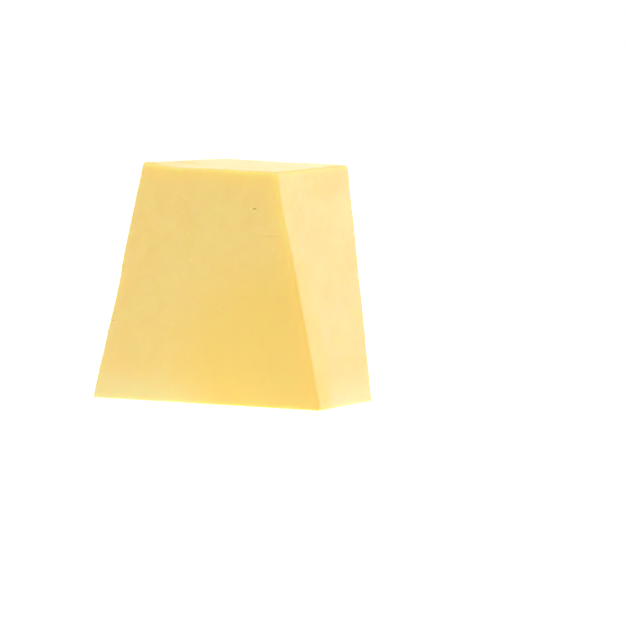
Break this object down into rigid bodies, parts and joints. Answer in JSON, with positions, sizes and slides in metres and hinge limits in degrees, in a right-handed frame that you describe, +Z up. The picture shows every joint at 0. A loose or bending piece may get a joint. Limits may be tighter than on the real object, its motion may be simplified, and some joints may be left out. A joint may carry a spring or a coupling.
{
  "type": "block of cheddar cheese",
  "caption": "Tall wedge-shaped block of pale yellow cheddar with smooth wire-cut faces, standing on its wide flat end.",
  "frame": {"origin": "middle of the base, on the surface that the block stands on", "axes": "+X along the large front face towards its steeper side, +Y from the front face to the back, +Z up"},
  "size_m": [0.1326, 0.0668, 0.1207],
  "materials": {
    "cheddar": "satin"
  },
  "bodies": {
    "root": {"cheese_block": "cheddar"}
  },
  "joints": []
}
